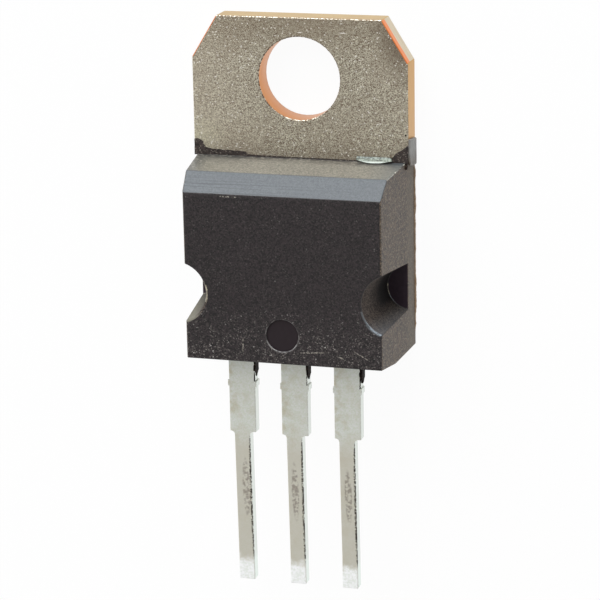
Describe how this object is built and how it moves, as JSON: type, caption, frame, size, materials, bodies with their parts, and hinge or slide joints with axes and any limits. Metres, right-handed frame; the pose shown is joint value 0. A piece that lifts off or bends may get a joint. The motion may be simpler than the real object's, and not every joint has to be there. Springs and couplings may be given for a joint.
{
  "type": "ultrafast diode",
  "caption": "Rectifier in a flat power package: drilled copper heat-sink tab, black moulded body with side notches, and straight leads in a row.",
  "frame": {"origin": "on the mounting hole's axis, at the back face of the tab", "axes": "+Z out of the front face, along the mounting hole; +Y up the tab, away from the leads; +X to the right seen from the front"},
  "size_m": [0.0102, 0.0267, 0.0045],
  "materials": {
    "mould_compound": "spark-textured black epoxy with fine pale filler specks",
    "plated_copper": "matte nickel plate on the front and back, bare copper on the sheared edges and in the hole",
    "tinned_lead": "satin tin, brighter where the tips were dipped in solder",
    "silicon": "opaque polished silicon with a metallised top",
    "solder": "dull lead-tin solder",
    "bond_wire": "drawn aluminium"
  },
  "bodies": {
    "root": {"mould_body": "mould_compound", "header_and_cathode_lead": "plated_copper", "left_anode_lead": "tinned_lead", "right_anode_lead": "tinned_lead", "left_die": "silicon", "right_die": "silicon", "left_die_solder": "solder", "right_die_solder": "solder", "left_inner_bond_wire": "bond_wire", "left_outer_bond_wire": "bond_wire", "right_inner_bond_wire": "bond_wire", "right_outer_bond_wire": "bond_wire"}
  },
  "joints": []
}
